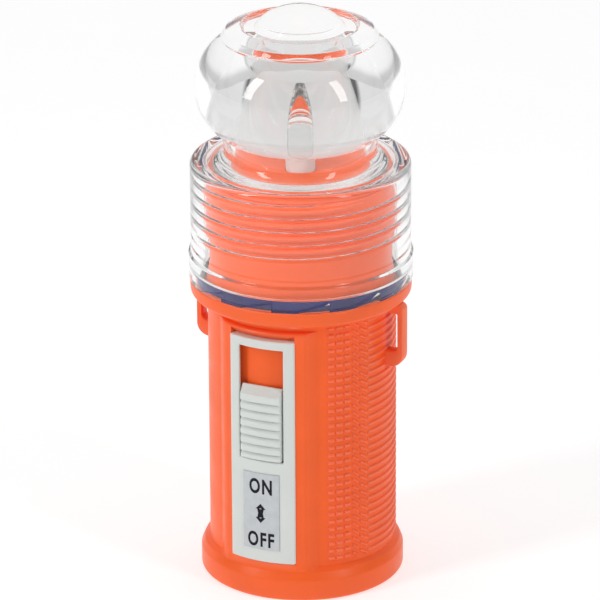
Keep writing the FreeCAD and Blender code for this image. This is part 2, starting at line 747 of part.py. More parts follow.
def build_contacts():
    """Contacts at both ends of the cell, the return strip and the foam ring."""
    plate = new_body("negative_plate")
    spin(plate, "disc", outline(plate, "outline", "XZ_Plane",
         [(0, FLOOR + 0.05), (13, FLOOR + 0.05), (13, FLOOR + 0.45), (0, FLOOR + 0.45)]))

    # bowed leaf that presses on the can; its feet rest on the plate
    leaf = new_body("negative_spring")
    low = FLOOR + 0.5
    top = CELL_BOTTOM - SEAT
    extrude(leaf, "leaf", outline(leaf, "outline", "XZ_Plane", [
        (-12, low), (-9, low), (-4, top - 0.4), (4, top - 0.4), (9, low), (12, low),
        (12, low + 0.4), (9.2, low + 0.4), (4.2, top), (-4.2, top), (-9.2, low + 0.4),
        (-12, low + 0.4),
    ]), 8, middle=True)

    strip = new_body("negative_strip")
    wall = CAVITY_R - 0.15
    extrude(strip, "strip", outline(strip, "outline", "YZ_Plane", [
        (9.5, FLOOR + 0.5), (wall, FLOOR + 0.5), (wall, BOARD_BOTTOM - 0.05),
        (13.3, BOARD_BOTTOM - 0.05), (13.3, BOARD_BOTTOM - 0.35),
        (wall - 0.3, BOARD_BOTTOM - 0.35), (wall - 0.3, FLOOR + 0.8), (9.5, FLOOR + 0.8),
    ]), 3.6, middle=True)

    leaf = new_body("positive_contact")
    touch = CELL_TOP + SEAT
    board = BOARD_BOTTOM - SEAT
    extrude(leaf, "leaf", outline(leaf, "outline", "YZ_Plane", [
        (9, board), (9, board - 0.4), (4.4, board - 0.4), (1.6, touch), (-2.2, touch),
        (-2.9, touch + 0.8), (-2.5, touch + 1.0), (-2.0, touch + 0.4), (1.4, touch + 0.4),
        (4.2, board),
    ]), 5, middle=True)

    foam = new_body("cell_pad")
    spin(foam, "ring", outline(foam, "outline", "XZ_Plane",
         rectangle(10.2, 13.8, CELL_TOP - 1.45, CELL_TOP + 3.2)))


# ---------------------------------------------------------------- lamp module

BOSSES = [(SCREW_CIRCLE.value * math.cos(math.radians(a)),
           SCREW_CIRCLE.value * math.sin(math.radians(a))) for a in (30, 150, 270)]
LEGS = [(0 - LEG_SPACING / 2, 0), (LEG_SPACING / 2, 0)]


def boss_centres():
    """Screw positions on their circle, bound to its radius."""
    return [(SCREW_CIRCLE * (x / SCREW_CIRCLE.value), SCREW_CIRCLE * (y / SCREW_CIRCLE.value))
            for x, y in BOSSES]


def build_deck():
    """Orange deck that rests on the neck and carries the board on three bosses."""
    deck = new_body("lamp_deck")
    hole = POST_R + 0.05
    under = NECK_TOP - 0.8
    spin(deck, "plate", outline(deck, "outline", "XZ_Plane", [
        (hole, under), (DECK_TUBE_R - 1, under), (DECK_TUBE_R - 1, 77.5),
        (DECK_TUBE_R, 77.5), (DECK_TUBE_R, NECK_TOP + SEAT), (DECK_R, NECK_TOP + SEAT),
        (DECK_R, DECK_TOP - 0.3), (DECK_R - 0.3, DECK_TOP), (hole, DECK_TOP),
    ]))
    foot = BOARD_TOP + SEAT
    extrude(deck, "bosses", circles(deck, "boss_outline", "XY_Plane", boss_centres(), 2.1,
            lift=foot), under - foot + 0.2)
    cut(deck, "pilots", circles(deck, "pilot_outline", "XY_Plane", boss_centres(), 0.85,
        lift=foot), 7.5, flip=True)

    post = new_body("lamp_post")
    bore = as_dim(1.9)
    spin(post, "tube", outline(post, "outline", "XZ_Plane", [
        (bore, under - 1.2), (POST_R + 1.1, under - 1.2), (POST_R + 1.1, under - 0.05),
        (POST_R, under - 0.05), (POST_R, POST_TOP), (bore, POST_TOP),
    ]))

    # one screw under each boss
    for label, (x, y) in zip(("deck_screw_a", "deck_screw_b", "deck_screw_c"), boss_centres()):
        screw = new_body(label)
        seat = BOARD_BOTTOM - SEAT
        spin(screw, "turned", outline(screw, "outline", "XZ_Plane", [
            (0, seat - 1.4), (1.2, seat - 1.4), (1.9, seat - 0.7), (1.9, seat),
            (0.8, seat), (0.8, seat + 7.6), (0.3, seat + 8.6), (0, seat + 8.6),
        ]))
        cut(screw, "cross_a", outline(screw, "cross_a_outline", "XZ_Plane",
            rectangle(-0.2, 0.2, seat - 1.6, seat - 0.8)), 2.4, middle=True)
        cut(screw, "cross_b", outline(screw, "cross_b_outline", "YZ_Plane",
            rectangle(-0.2, 0.2, seat - 1.6, seat - 0.8)), 2.4, middle=True)
        move(screw, x, y, 0)


def build_board():
    """Round circuit board and the driver parts on its upper face."""
    board = new_body("circuit_board")
    spin(board, "disc", outline(board, "outline", "XZ_Plane",
         [(0, BOARD_BOTTOM), (BOARD_R, BOARD_BOTTOM), (BOARD_R, BOARD_TOP), (0, BOARD_TOP)]))
    holes = {"leg_holes": (LEGS, 0.45), "screw_holes": (boss_centres(), 1.0)}
    angle = math.radians(REED_ANGLE.value)
    wire_holes = []
    for side in (-REED_SIDE.value, REED_SIDE.value + 0.6):
        wire_holes.append((13.6 * math.sin(angle) + side * math.cos(angle),
                           -13.6 * math.cos(angle) + side * math.sin(angle)))
    holes["wire_holes"] = (wire_holes, 0.55)
    for name, (centres, radius) in holes.items():
        cut(board, name, circles(board, f"{name}_outline", "XY_Plane", centres, radius),
            90, flip=True)

    on = BOARD_TOP + SEAT
    pieces = [block("chip_case", -8, -3, 2, 6, on + 0.15, on + 1.6)]
    for i in range(4):
        x = -7.4 + 1.27 * i
        for side, y in (("near", 1.1), ("far", 5.9)):
            pieces.append(block(f"chip_leg_{side}{i}", x, x + 0.4, y, y + 1, on, on + 0.4))
    join("driver_chip", pieces)

    coil = new_body("driver_inductor")
    spin(coil, "drum", outline(coil, "outline", "XZ_Plane", [
        (0, on), (3, on), (3, on + 0.6), (2.6, on + 0.9), (2.6, on + 3.5), (3, on + 3.8),
        (3, on + 4.4), (0, on + 4.4),
    ]))
    move(coil, 5.2, -5.2, 0)

    can = new_body("driver_capacitor")
    spin(can, "can", outline(can, "outline", "XZ_Plane", [
        (0, on), (2.2, on), (2.2, on + 0.7), (2.05, on + 0.9), (2.2, on + 1.1),
        (2.2, on + 5.8), (1.9, on + 6.1), (0, on + 6.1),
    ]))
    move(can, 4.6, 5.4, 0)

    chips = []
    for i, (x, y) in enumerate(((-8.5, -2.2), (-5.2, -2.2), (-5.2, -5.4), (-8.5, -5.4))):
        chips.append(block(f"resistor_{i}", x, x + 2, y, y + 1.25, on, on + 0.55))
    join("chip_resistors", chips)


def build_led():
    """Round LED: metal lead frame with its cup, the light chip, and the clear moulding."""
    leg = LEG_W / 2
    half = LEG_SPACING / 2
    foot = BOARD_BOTTOM - 0.7
    cup_low, cup_high = as_dim(97.4), as_dim(98.6)
    anode = block("anode_leg", half - leg, half + leg, 0 - leg, leg, foot, 98.9)
    cathode = block("cathode_leg", 0 - half - leg, leg - half, 0 - leg, leg, foot, cup_low)
    arm = block("cathode_arm", 0 - half - leg, 0, 0 - leg, leg, cup_low - 0.8, cup_low)
    cup_blank = rod("cup_blank", 0.8, 0, 0, cup_low, cup_high)
    hollow = doc.addObject("Part::Cone", "cup_hollow")
    bind(hollow, Radius1=0.3, Radius2=0.68, Height=0.7)
    move(hollow, 0, 0, cup_high - 0.6)
    cup = doc.addObject("Part::Cut", "cup")
    cup.Base = cup_blank
    cup.Tool = hollow
    frame = join("led_leads", [anode, cathode, arm, cup])

    die = block("led_die", -0.17, 0.17, -0.17, 0.17, cup_high - 0.6, cup_high - 0.4)
    die.Label = "led_die"
    nodes["led_die"] = die

    blank = doc.addObject("PartDesign::Body", "led_blank")
    base = POST_TOP + SEAT
    spin(blank, "moulding", outline(blank, "outline", "XZ_Plane", [
        (0, base), (LED_R + 0.4, base), (LED_R + 0.4, base + 1), (LED_R, base + 1),
        (LED_R, LED_TIP - LED_R), (0, LED_TIP),
    ], arcs={4: LED_R}))
    metal = doc.addObject("Part::MultiFuse", "led_inside")
    metal.Shapes = [frame, die]
    lens = doc.addObject("Part::Cut", "led_lens")
    lens.Base = blank
    lens.Tool = metal
    lens.Label = "led_lens"
    nodes["led_lens"] = lens
    doc.recompute()


# ---------------------------------------------------------------- build, check, write

build_shell()
build_lens()
build_seal()
build_bezel()
build_knob()
build_magnet()
build_detent()
build_label()
build_reed()
build_wires()
build_cell()
build_contacts()
build_deck()
build_board()
build_led()
doc.recompute()

for item in doc.Objects:
    if "Invalid" in item.State or "Error" in item.State:
        raise RuntimeError(f"{item.Name} failed: {item.State}")
for label, item in nodes.items():
    if item.Shape.isNull() or not item.Shape.isValid() or not item.Shape.Solids:
        raise RuntimeError(f"{label} has no valid shape")

os.makedirs("parts", exist_ok=True)
for label, item in nodes.items():
    item.Shape.exportStep(os.path.join("parts", f"{label}.step"))
    box = item.Shape.BoundBox
    print(f"{label:18s} solids {len(item.Shape.Solids)} volume {item.Shape.Volume:9.2f} "
          f"x {box.XMin:7.2f} {box.XMax:7.2f} y {box.YMin:7.2f} {box.YMax:7.2f} "
          f"z {box.ZMin:7.2f} {box.ZMax:7.2f}")
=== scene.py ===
"""LED safety flare: the finished looks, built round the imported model.

The shapes are worked out in millimetres and scaled to metres when a mesh is made. An angle is
in degrees round Z, from the switch (which faces -Y) towards +X.
"""

import json
import math

import bmesh
import bpy
import numpy as np
from mathutils import Matrix, Vector


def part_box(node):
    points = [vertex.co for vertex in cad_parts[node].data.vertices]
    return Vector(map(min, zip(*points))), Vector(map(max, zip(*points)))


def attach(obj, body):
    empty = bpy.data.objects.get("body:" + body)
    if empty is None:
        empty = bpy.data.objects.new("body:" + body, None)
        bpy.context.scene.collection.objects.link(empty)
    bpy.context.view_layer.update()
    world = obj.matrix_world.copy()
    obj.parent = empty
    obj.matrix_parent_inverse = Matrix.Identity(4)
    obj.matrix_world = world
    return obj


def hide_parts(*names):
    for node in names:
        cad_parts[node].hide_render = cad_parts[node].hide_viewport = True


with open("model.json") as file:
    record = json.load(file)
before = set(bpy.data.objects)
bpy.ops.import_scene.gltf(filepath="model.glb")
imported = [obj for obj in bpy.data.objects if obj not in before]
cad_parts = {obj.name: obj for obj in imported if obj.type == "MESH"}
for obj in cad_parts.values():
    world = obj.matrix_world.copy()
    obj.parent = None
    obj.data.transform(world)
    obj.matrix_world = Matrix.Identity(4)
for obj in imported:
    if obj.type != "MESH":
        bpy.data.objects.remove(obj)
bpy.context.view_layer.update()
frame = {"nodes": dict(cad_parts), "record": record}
nodes = frame["nodes"]

MM = 0.001


# ---------------------------------------------------------------- sizes from the frame

def corners(node):
    """A node's lowest and highest corners, in millimetres."""
    low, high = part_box(node)
    return Vector(low) / MM, Vector(high) / MM


shell_high = corners("body_shell")[1]
lens_low, lens_high = corners("lens_cap")
seal_low, seal_high = corners("seal_ring")
bezel_low, bezel_high = corners("switch_bezel")
knob_low, knob_high = corners("slide_knob")
label_low, label_high = corners("switch_label")
deck_low, deck_high = corners("lamp_deck")
post_low, post_high = corners("lamp_post")
led_low, led_high = corners("led_lens")

LIP = lens_low.z                        # underside of the lens flange
FLANGE_R = lens_high.x
COLLAR_TOP = LIP - 0.3
COLLAR_R = FLANGE_R - 0.25
FOOT_R = FLANGE_R - 2.0
BARREL_R = FOOT_R - 1.85
BARREL_BASE = 6.8
BARREL_TOP = COLLAR_TOP - 4.3
PAD_TOP = BARREL_TOP - 0.8
PAD_R = BARREL_R + 1.05
PAD_FULL = 26.6                         # the pad is full height to this angle,
PAD_END = 34.8                          # and has sloped down to the barrel by this one
RECESS_R = BARREL_R - 0.6
CAVITY_R = BARREL_R - 1.85
FLOOR = 2.4
NECK_R = BARREL_R - 0.35
NECK_TOP = shell_high.z
LOOP_R = shell_high.x
BEZEL_R = -bezel_low.y
BEZEL_ANGLE = math.degrees(math.asin(bezel_high.x / BEZEL_R))
WINDOW = (-4.9, 4.9, knob_low.z - 0.3, bezel_high.z - 1.9)
THREAD_PITCH = 2.85
THREAD_START = LIP + 9.1
THREAD_TRAVEL = 11.2                    # height between the neck thread's two ends
THREAD_HIGH = 0.8
THREAD_HALF = 0.65                      # half its width at the root


# ---------------------------------------------------------------- mesh helpers

def make_piece(name, body, finish, points, faces, sharp=34, stands_for=()):
    """A mesh piece from points in millimetres, with outward faces and crisp edges kept."""
    mesh = bpy.data.meshes.new(name)
    mesh.from_pydata((np.asarray(points, dtype=float) * MM).tolist(), [], faces)
    made = bmesh.new()
    made.from_mesh(mesh)
    bmesh.ops.remove_doubles(made, verts=made.verts, dist=2e-6)
    bmesh.ops.dissolve_degenerate(made, edges=made.edges, dist=1e-6)
    bmesh.ops.recalc_face_normals(made, faces=made.faces)
    made.to_mesh(mesh)
    made.free()
    mesh.shade_smooth()
    mesh.set_sharp_from_angle(angle=math.radians(sharp))
    piece = bpy.data.objects.new(name, mesh)
    bpy.context.scene.collection.objects.link(piece)
    mesh.materials.append(finish)
    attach(piece, body)
    if stands_for:
        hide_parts(*stands_for)
    return piece


class Build:
    """Points and faces of one piece, gathered from several closed parts."""

    def __init__(self):
        self.points = []
        self.faces = []

    def add(self, points, faces):
        start = len(self.points)
        self.points.extend(np.asarray(points, dtype=float).reshape(-1, 3).tolist())
        self.faces.extend([tuple(start + i for i in face) for face in faces])


def grid_faces(rows, columns, close_rows=False, close_columns=False):
    """Quads between neighbouring points of a rows by columns grid."""
    faces = []
    for i in range(rows if close_rows else rows - 1):
        for j in range(columns if close_columns else columns - 1):
            a, b = i * columns, (i + 1) % rows * columns
            k = (j + 1) % columns
            faces.append((a + j, a + k, b + k, b + j))
    return faces


def polar_points(radius, height, angles):
    """Points for radii and heights (rows by columns, or one column) at the given angles."""
    turn = np.radians(np.asarray(angles, dtype=float))[None, :]
    radius = np.asarray(radius, dtype=float) * np.ones_like(turn)
    height = np.asarray(height, dtype=float) * np.ones_like(turn)
    return np.stack([radius * np.sin(turn), -radius * np.cos(turn), height], axis=-1)


def rounded(points, steps=4):
    """Profile through (r, z) or (r, z, corner radius) points, with round corners as arcs."""
    out = []
    for i, point in enumerate(points):
        here = Vector(point[:2])
        if len(point) < 3 or i in (0, len(points) - 1):
            out.append(tuple(here))
            continue
        before = Vector(points[i - 1][:2]) - here
        after = Vector(points[i + 1][:2]) - here
        half = before.angle(after) / 2
        reach = min(point[2] / math.tan(half), 0.49 * before.length, 0.49 * after.length)
        radius = reach * math.tan(half)
        first = here + before.normalized() * reach
        last = here + after.normalized() * reach
        centre = here + (before.normalized() + after.normalized()).normalized() * (
            radius / math.sin(half))
        for step in range(steps + 1):
            mixed = first.lerp(last, step / steps) - centre
            out.append(tuple(centre + mixed.normalized() * radius))
    return out


def bulge(start, end, radius, steps):
    """Points after start up to end along an arc whose centre lies left of the way."""
    start, end = Vector(start), Vector(end)
    half = (end - start) / 2
    left = Vector((-half.y, half.x)).normalized()
    centre = start + half + left * math.sqrt(radius * radius - half.length_squared)
    a = math.atan2(start.y - centre.y, start.x - centre.x)
    b = math.atan2(end.y - centre.y, end.x - centre.x)
    if b < a:
        b += 2 * math.pi
    return [(centre.x + radius * math.cos(a + (b - a) * i / steps),
             centre.y + radius * math.sin(a + (b - a) * i / steps)) for i in range(1, steps + 1)]


def ring_angles(step, marks=()):
    """Angles all the way round, with exact columns at the marks."""
    marks = sorted({round(m % 360, 4) for m in marks})
    plain = [a for a in np.arange(0, 360, step)
             if all(abs((a - m + 180) % 360 - 180) > step * 0.35 for m in marks)]
    return np.array(sorted(plain + marks))


def from_front(angles):
    """Angles as values from -180 to 180."""
    return (np.asarray(angles) + 180) % 360 - 180


def add_lathe(build, profile, step=2.5):
    """A solid of revolution; the profile runs from axis to axis, or is a closed loop."""
    angles = ring_angles(step)
    r, z = np.array(profile).T
    grid = polar_points(r[:, None], z[:, None], angles)
    on_axis = r[0] < 1e-6 and r[-1] < 1e-6
    build.add(grid, grid_faces(len(r), len(angles), not on_axis, True))


def add_bar(build, spine, section, ends=0.35):
    """A low bar along a spine of (angle, radius, z); section is (out, up) points round it."""
    rows = []
    count = len(spine)
    for i, (angle, radius, z) in enumerate(spine):
        scale = ends if i in (0, count - 1) else 1.0
        turn = math.radians(angle)
        for out, up in section:
            r = radius + (out * scale if out > 0 else out)
            rows.append((r * math.sin(turn), -r * math.cos(turn), z + up * (0.6 + 0.4 * scale)))
    sides = len(section)
    faces = grid_faces(count, sides, False, True)
    faces.append(tuple(range(sides)))
    faces.append(tuple(reversed(range((count - 1) * sides, count * sides))))
    build.add(rows, faces)


def rib_section(width, height, crest):
    """Round-shouldered section of a rib that is sunk a little into the wall."""
    half, top = width / 2, crest / 2
    return [(-0.2, -half), (0, -half), (height * 0.7, -(half + top) / 2), (height, -top),
            (height, top), (height * 0.7, (half + top) / 2), (0, half), (-0.2, half)]


# ---------------------------------------------------------------- body shell

GRIP_PITCH = 1.65
GRIP_ROWS = 32
GRIP_FIRST = 8.5
GRIP_DROP = 1.15                        # how far a slanted dash falls from end to end
DASHES = [(40.6, 44.5), (45.6, 49.9), (51.1, 55.3)]
SLANTS = [(56.8, 61.3), (62.3, 68.2)]
GRIP_BACK = 69.3                        # the ribs run from here
GRIP_END = 282.5                        # round the back to here
SLOT = (BARREL_R + 0.05, LOOP_R - 1.2, 51.2, 59.5)     # strap slot: x from, to, z from, to
CHANNEL_ANGLE = 27.0
CHANNEL_HALF = 6.5


def shell_profile():
    """Outer side from the foot's underside to the neck's rim, then the inner side down."""
    outer = rounded([
        (0, 0.6), (17.5, 0.6), (17.5, 0, 0.15), (FOOT_R, 0, 0.8),
        (FOOT_R, 4.5, 1.3), (FOOT_R - 0.7, 6.1, 0.6), (BARREL_R, BARREL_BASE + 0.1, 0.5),
    ])
    lower = rounded([
        (BARREL_R, BARREL_TOP - 0.7), (BARREL_R, BARREL_TOP + 0.1, 0.9),
        (COLLAR_R - 2.0, BARREL_TOP + 0.4, 0.9), (COLLAR_R - 0.1, BARREL_TOP + 1.6, 1.0),
        (COLLAR_R, COLLAR_TOP, 0.35), (NECK_R, COLLAR_TOP, 0.3), (NECK_R, NECK_TOP, 0.5),
        (CAVITY_R, NECK_TOP, 0.2), (CAVITY_R, NECK_TOP - 1.0),
    ], steps=6)
    inner = [(CAVITY_R, z) for z in (74.62, 74.58, 46.02, 45.98, 28.02, 27.98, 22.02, 21.98)]
    inner += rounded([(CAVITY_R, 12), (CAVITY_R, FLOOR, 0.6), (0, FLOOR)])
    marks = [7.98, 8.02, SLOT[2] - 0.03, SLOT[2] + 0.03]
    marks += [PAD_TOP - down for down in (0.6, 0.42, 0.25, 0.12, 0.03, 0)]
    middle = sorted(list(np.arange(9.0, PAD_TOP - 1, 4.0)) + marks)
    return outer + [(BARREL_R, z) for z in middle] + lower + inner


def build_shell():
    """Barrel, foot, collar and neck with the pad, grip, strap loops and thread."""
    marks = []
    for sign in (-1, 1):
        for angle in (BEZEL_ANGLE + 0.1, BEZEL_ANGLE + 0.25, PAD_FULL - 1.2, PAD_FULL - 0.5,
                      PAD_FULL, PAD_FULL + 0.5, PAD_FULL + 1.2, PAD_END - 1.0, PAD_END,
                      PAD_END + 0.8):
            marks.append(sign * angle)
    marks += [CHANNEL_ANGLE - CHANNEL_HALF - 0.05, CHANNEL_ANGLE - CHANNEL_HALF + 0.05,
              CHANNEL_ANGLE + CHANNEL_HALF - 0.05, CHANNEL_ANGLE + CHANNEL_HALF + 0.05]
    angles = ring_angles(2.0, marks)
    front = from_front(angles)[None, :]
    r, z = np.array(shell_profile()).T
    top = int(np.argmax(z))
    outside = (np.arange(len(r)) <= top)[:, None]
    radius = np.repeat(r[:, None], len(angles), axis=1)
    height = z[:, None]

    # pad: full height beside the switch, then a round-edged slope down to the barrel
    slope = np.clip((PAD_END - np.abs(front)) / (PAD_END - PAD_FULL), 0, 1)
    soft = np.clip((PAD_END + 0.8 - np.abs(front)) / 1.8, 0, 1)
    crest = 0.1 * np.clip(1 - np.abs(np.abs(front) - PAD_FULL) / 1.2, 0, 1)
    edge = np.sqrt(1 - (1 - np.clip((PAD_TOP - height) / 0.6, 0, 1)) ** 2)
    pad = BARREL_R + (PAD_R - BARREL_R) * (slope - crest * 0.8) * soft * edge
    in_pad = outside & (height > 5.6) & (height < PAD_TOP)
    radius = np.where(in_pad & (pad > BARREL_R), np.maximum(radius, pad), radius)

    # recess for the switch frame
    in_recess = outside & (height > 8.0) & (height < bezel_high.z + 0.1)
    radius = np.where(in_recess & (np.abs(front) < BEZEL_ANGLE + 0.2), RECESS_R, radius)

    # channel for the reed switch and its wires in the inner wall
    beside = np.abs(front - CHANNEL_ANGLE) < CHANNEL_HALF
    inside = ~outside
    radius = np.where(inside & beside & (height > 22) & (height < 74.6), CAVITY_R + 0.5, radius)
    radius = np.where(inside & beside & (height > 28) & (height < 46), CAVITY_R + 1.0, radius)

    build = Build()
    grid = polar_points(radius, height, angles)
    build.add(grid, grid_faces(len(r), len(angles), False, True))
    add_grip(build)
    add_loops(build)
    add_thread(build)
    return build


def add_grip(build):
    """Upright columns of dashes and slanted dashes, then ribs right round the back."""
    section = rib_section(0.86, 0.36, 0.3)
    slant_section = rib_section(0.72, 0.34, 0.22)
    for row in range(GRIP_ROWS):
        z = GRIP_FIRST + row * GRIP_PITCH
        for first, last in DASHES:
            steps = np.linspace(first, last, 6)
            steps[1], steps[-2] = first + 0.45, last - 0.45
            add_bar(build, [(a, BARREL_R, z) for a in steps], section)
        for first, last in SLANTS:
            steps = np.linspace(first, last, 7)
            steps[1], steps[-2] = first + 0.5, last - 0.5
            fall = GRIP_DROP * (0.5 - (steps - first) / (last - first))
            add_bar(build, [(a, BARREL_R, z + up) for a, up in zip(steps, fall)],
                    slant_section)
        back = np.linspace(GRIP_BACK, GRIP_END, 100)
        add_bar(build, [(a, BARREL_R, z) for a in back], section)


def add_loops(build):
    """Strap loops: a rounded frame round each slot, from the barrel up into the collar."""
    inner_x, outer_x = CAVITY_R + 0.2, LOOP_R
    low, high = 47.7, BARREL_TOP + 1.4
    outline = rounded([
        (inner_x, high), (outer_x, high, 1.2), (outer_x, low, 4.2), (inner_x, low),
        (inner_x, high)], steps=8)[:-1]
    hole = rounded([
        (SLOT[0] - 1.0, SLOT[3]), (SLOT[1], SLOT[3], 0.4), (SLOT[1], SLOT[2], 1.4),
        (SLOT[0] - 1.0, SLOT[2]), (SLOT[0] - 1.0, SLOT[3])], steps=8)[:-1]
    layers = [(-1.4, 0.35), (-1.3, 0.12), (-1.05, 0.0), (1.05, 0.0), (1.3, 0.12), (1.4, 0.35)]
    middle = Vector(((SLOT[0] + SLOT[1]) / 2, (SLOT[2] + SLOT[3]) / 2))
    for sign in (-1, 1):
        points = []
        for path, grow in ((outline, -1), (hole, 1)):
            for y, inset in (layers if grow < 0 else reversed(layers)):
                for x, z in path:
                    away = (Vector((x, z)) - middle).normalized()
                    shift = away * inset * grow
                    points.append((sign * (x + shift.x), y, z + shift.y))
        build.add(points, grid_faces(2 * len(layers), len(outline), True, True))


def add_thread(build):
    """Outside screw thread that fades in and out at its ends."""
    turns = THREAD_TRAVEL / THREAD_PITCH
    spine = []
    count = int(turns * 100)
    for i in range(count + 1):
        angle = 90 + 360 * turns * i / count
        fade = min(1, 0.12 + min(i, count - i) / 8)
        spine.append((angle, NECK_R - THREAD_HIGH * (1 - fade),
                      THREAD_START + THREAD_HALF + THREAD_TRAVEL * i / count))
    lower = [(-0.25, -THREAD_HALF), (0, -THREAD_HALF), (0.66, -0.38), (0.78, -0.3),
             (THREAD_HIGH, -0.2)]
    section = lower + [(out, -up) for out, up in reversed(lower)]
    add_bar(build, spine, section, ends=1.0)


# ---------------------------------------------------------------- lens cap

TEETH = 12
TOOTH_HALF = 3.4                        # half length of a tooth pocket along the lip
TOOTH_DEEP = 1.7
SEAT = LIP + 2.3                        # where the seal presses
LIP_BORE = FLANGE_R - 1.6
POCKET_R = FLANGE_R - 0.35
SKIRT_R = FLANGE_R - 0.45
SKIRT_BORE = 20.0
SHOULDER = LIP + 25.1
WAIST_R = 15.6
LENS_TURNS = 3.9                        # the lens's own thread
LENS_RIDGE = 0.28
LENS_RIDGE_HALF = 0.62


def lens_profile():
    """From the bell's top on the axis down to the lip, then up the outside to the dome."""
    ceiling = SHOULDER - 1.3
    bell_top = lens_high.z - 11.6
    inner = rounded([
        (0, bell_top), (6.8, bell_top - 0.15, 1.6), (9.4, bell_top - 1.9, 2.4),
        (12.3, 101.0, 25), (13.2, 96.0, 14), (13.5, ceiling, 4.2),
        (SKIRT_BORE - 0.7, ceiling + 0.75, 0.5), (SKIRT_BORE, ceiling + 0.3, 0.3),
        (SKIRT_BORE, 87.7),
    ], steps=8)
    rows = [(SKIRT_BORE, z) for z in np.arange(87.6, 73.4, -0.11)]
    pocket = rounded([
        (SKIRT_BORE, 72.0), (SKIRT_BORE, SEAT, 0.15), (LIP_BORE, SEAT, 0.1),
        (LIP_BORE, LIP + 1.9)], steps=3)
    lip = [(LIP_BORE, LIP), (POCKET_R - 0.03, LIP), (POCKET_R + 0.03, LIP)]
    globe_low, globe_top = (FLANGE_R - 1.65, LIP + 40.8), (15.8, LIP + 51.1)
    outer = rounded([
        (POCKET_R + 0.1, LIP), (FLANGE_R, LIP, 0.25), (FLANGE_R, LIP + 5.2, 0.3),
        (SKIRT_R, LIP + 5.7, 0.3), (SKIRT_R, SHOULDER, 1.1), (WAIST_R + 0.3, SHOULDER, 3.4),
        (WAIST_R, LIP + 30.5),
    ], steps=8)
    outer += bulge((WAIST_R, LIP + 30.5), globe_low, 12.0, 26)
    outer += bulge(globe_low, globe_top, 11.9, 26)
    crown = LIP + 51.1
    outer += rounded([
        globe_top, (16.1, crown + 0.5, 0.25), (15.2, crown + 1.7, 0.7), (12.1, crown + 2.8, 0.5),
        (11.4, crown + 2.15, 0.4), (9.4, crown + 2.15, 0.3), (8.5, crown + 3.4, 0.15),
        (8.2, crown + 3.55),
    ], steps=5)[1:]
    apex = lens_high.z
    rise = apex - (crown + 3.5)
    radius = (8.5 ** 2 + rise ** 2) / (2 * rise)
    for i in range(1, 25):
        out = 8.2 * (1 - i / 24)
        outer.append((out, apex - radius + math.sqrt(radius ** 2 - out ** 2)))
    return inner, rows, pocket, lip, outer


def build_lens():
    """The clear cap as one closed surface, with its inside thread and its ratchet teeth."""
    inner, rows, pocket, lip, outer = lens_profile()
    profile = inner + rows + pocket + lip + outer
    reach = math.degrees(math.asin(TOOTH_HALF / LIP_BORE))
    marks = []
    for i in range(TEETH):
        # a tooth's pocket is centred every thirtieth of a turn from the switch side
        centre = 360 / TEETH * i
        marks += [centre - reach, centre + reach, centre + reach + 0.15]
    angles = ring_angles(1.5, marks)
    r, z = np.array(profile).T
    radius = np.repeat(r[:, None], len(angles), axis=1)
    height = np.repeat(z[:, None], len(angles), axis=1)

    # thread crest half a pitch above the neck's
    first = len(inner)
    block = slice(first, first + len(rows))
    middle = THREAD_START + THREAD_HALF + THREAD_PITCH / 2
    for turn in range(-1, 5):
        along = (angles - 90) / 360 + turn
        ridge = middle + THREAD_PITCH * along
        inside = np.clip(np.minimum(along + 0.4, LENS_TURNS - along) * 14, 0, 1)
        away = np.abs(height[block] - ridge[None, :])
        swell = np.cos(np.clip(away / LENS_RIDGE_HALF, 0, 1) * np.pi / 2) ** 2
        bump = LENS_RIDGE * swell * inside[None, :]
        radius[block] = np.minimum(radius[block], SKIRT_BORE - bump)

    # teeth: pockets that deepen along the lip and end in an upright face
    start = first + len(rows) + len(pocket)
    offset = (angles + 180 / TEETH) % (360 / TEETH) - 180 / TEETH
    along = LIP_BORE * np.sin(np.radians(offset))
    depth = np.where(np.abs(offset) <= reach + 1e-3, (along + TOOTH_HALF) / (2 * TOOTH_HALF), 0)
    for row in (start, start + 1):
        height[row] = LIP + TOOTH_DEEP * np.clip(depth, 0, 1)
    turned = polar_points(radius, height, angles)
    build = Build()
    build.add(turned, grid_faces(len(r), len(angles), False, True))
    return build


def build_seal():
    """Rubber ring with a shallow groove in its top face."""
    low, high = seal_low.z, seal_high.z
    inner, outer = SKIRT_BORE + 0.15, seal_high.x
    build = Build()
    add_lathe(build, rounded([
        (inner, (low + high) / 2), (inner, low, 0.3), (outer, low, 0.35),
        (outer, high, 0.35), (outer - 0.35, high, 0.1), (outer - 0.6, high - 0.15, 0.1),
        (inner + 0.4, high - 0.15, 0.1), (inner + 0.2, high, 0.1), (inner, high, 0.2),
        (inner, (low + high) / 2 + 0.05),
    ]), 2.0)
    return build


# ---------------------------------------------------------------- switch

def add_plate(build, x_lines, z_lines, keep, front, back):
    """A curved plate from grid cells; front and back give the radius at (x, z)."""
    columns, rows = len(x_lines), len(z_lines)
    points = []
    for surface in (front, back):
        for z in z_lines:
            for x in x_lines:
                radius = surface(x, z)
                points.append((x, -math.sqrt(radius ** 2 - x ** 2), z))
    kept = {(i, j) for i in range(rows - 1) for j in range(columns - 1)
            if keep((x_lines[j] + x_lines[j + 1]) / 2, (z_lines[i] + z_lines[i + 1]) / 2)}
    far = rows * columns
    faces = []
    for i, j in kept:
        a, b, c, d = (i * columns + j, i * columns + j + 1,
                      (i + 1) * columns + j + 1, (i + 1) * columns + j)
        faces.append((a, b, c, d))
        faces.append((far + d, far + c, far + b, far + a))
        for (p, q), side in (((a, b), (i - 1, j)), ((b, c), (i, j + 1)),
                             ((c, d), (i + 1, j)), ((d, a), (i, j - 1))):
            if side not in kept:
                faces.append((q, p, far + p, far + q))
    used = sorted({k for face in faces for k in face})
    index = {k: n for n, k in enumerate(used)}
    build.add([points[k] for k in used], [tuple(index[k] for k in face) for face in faces])


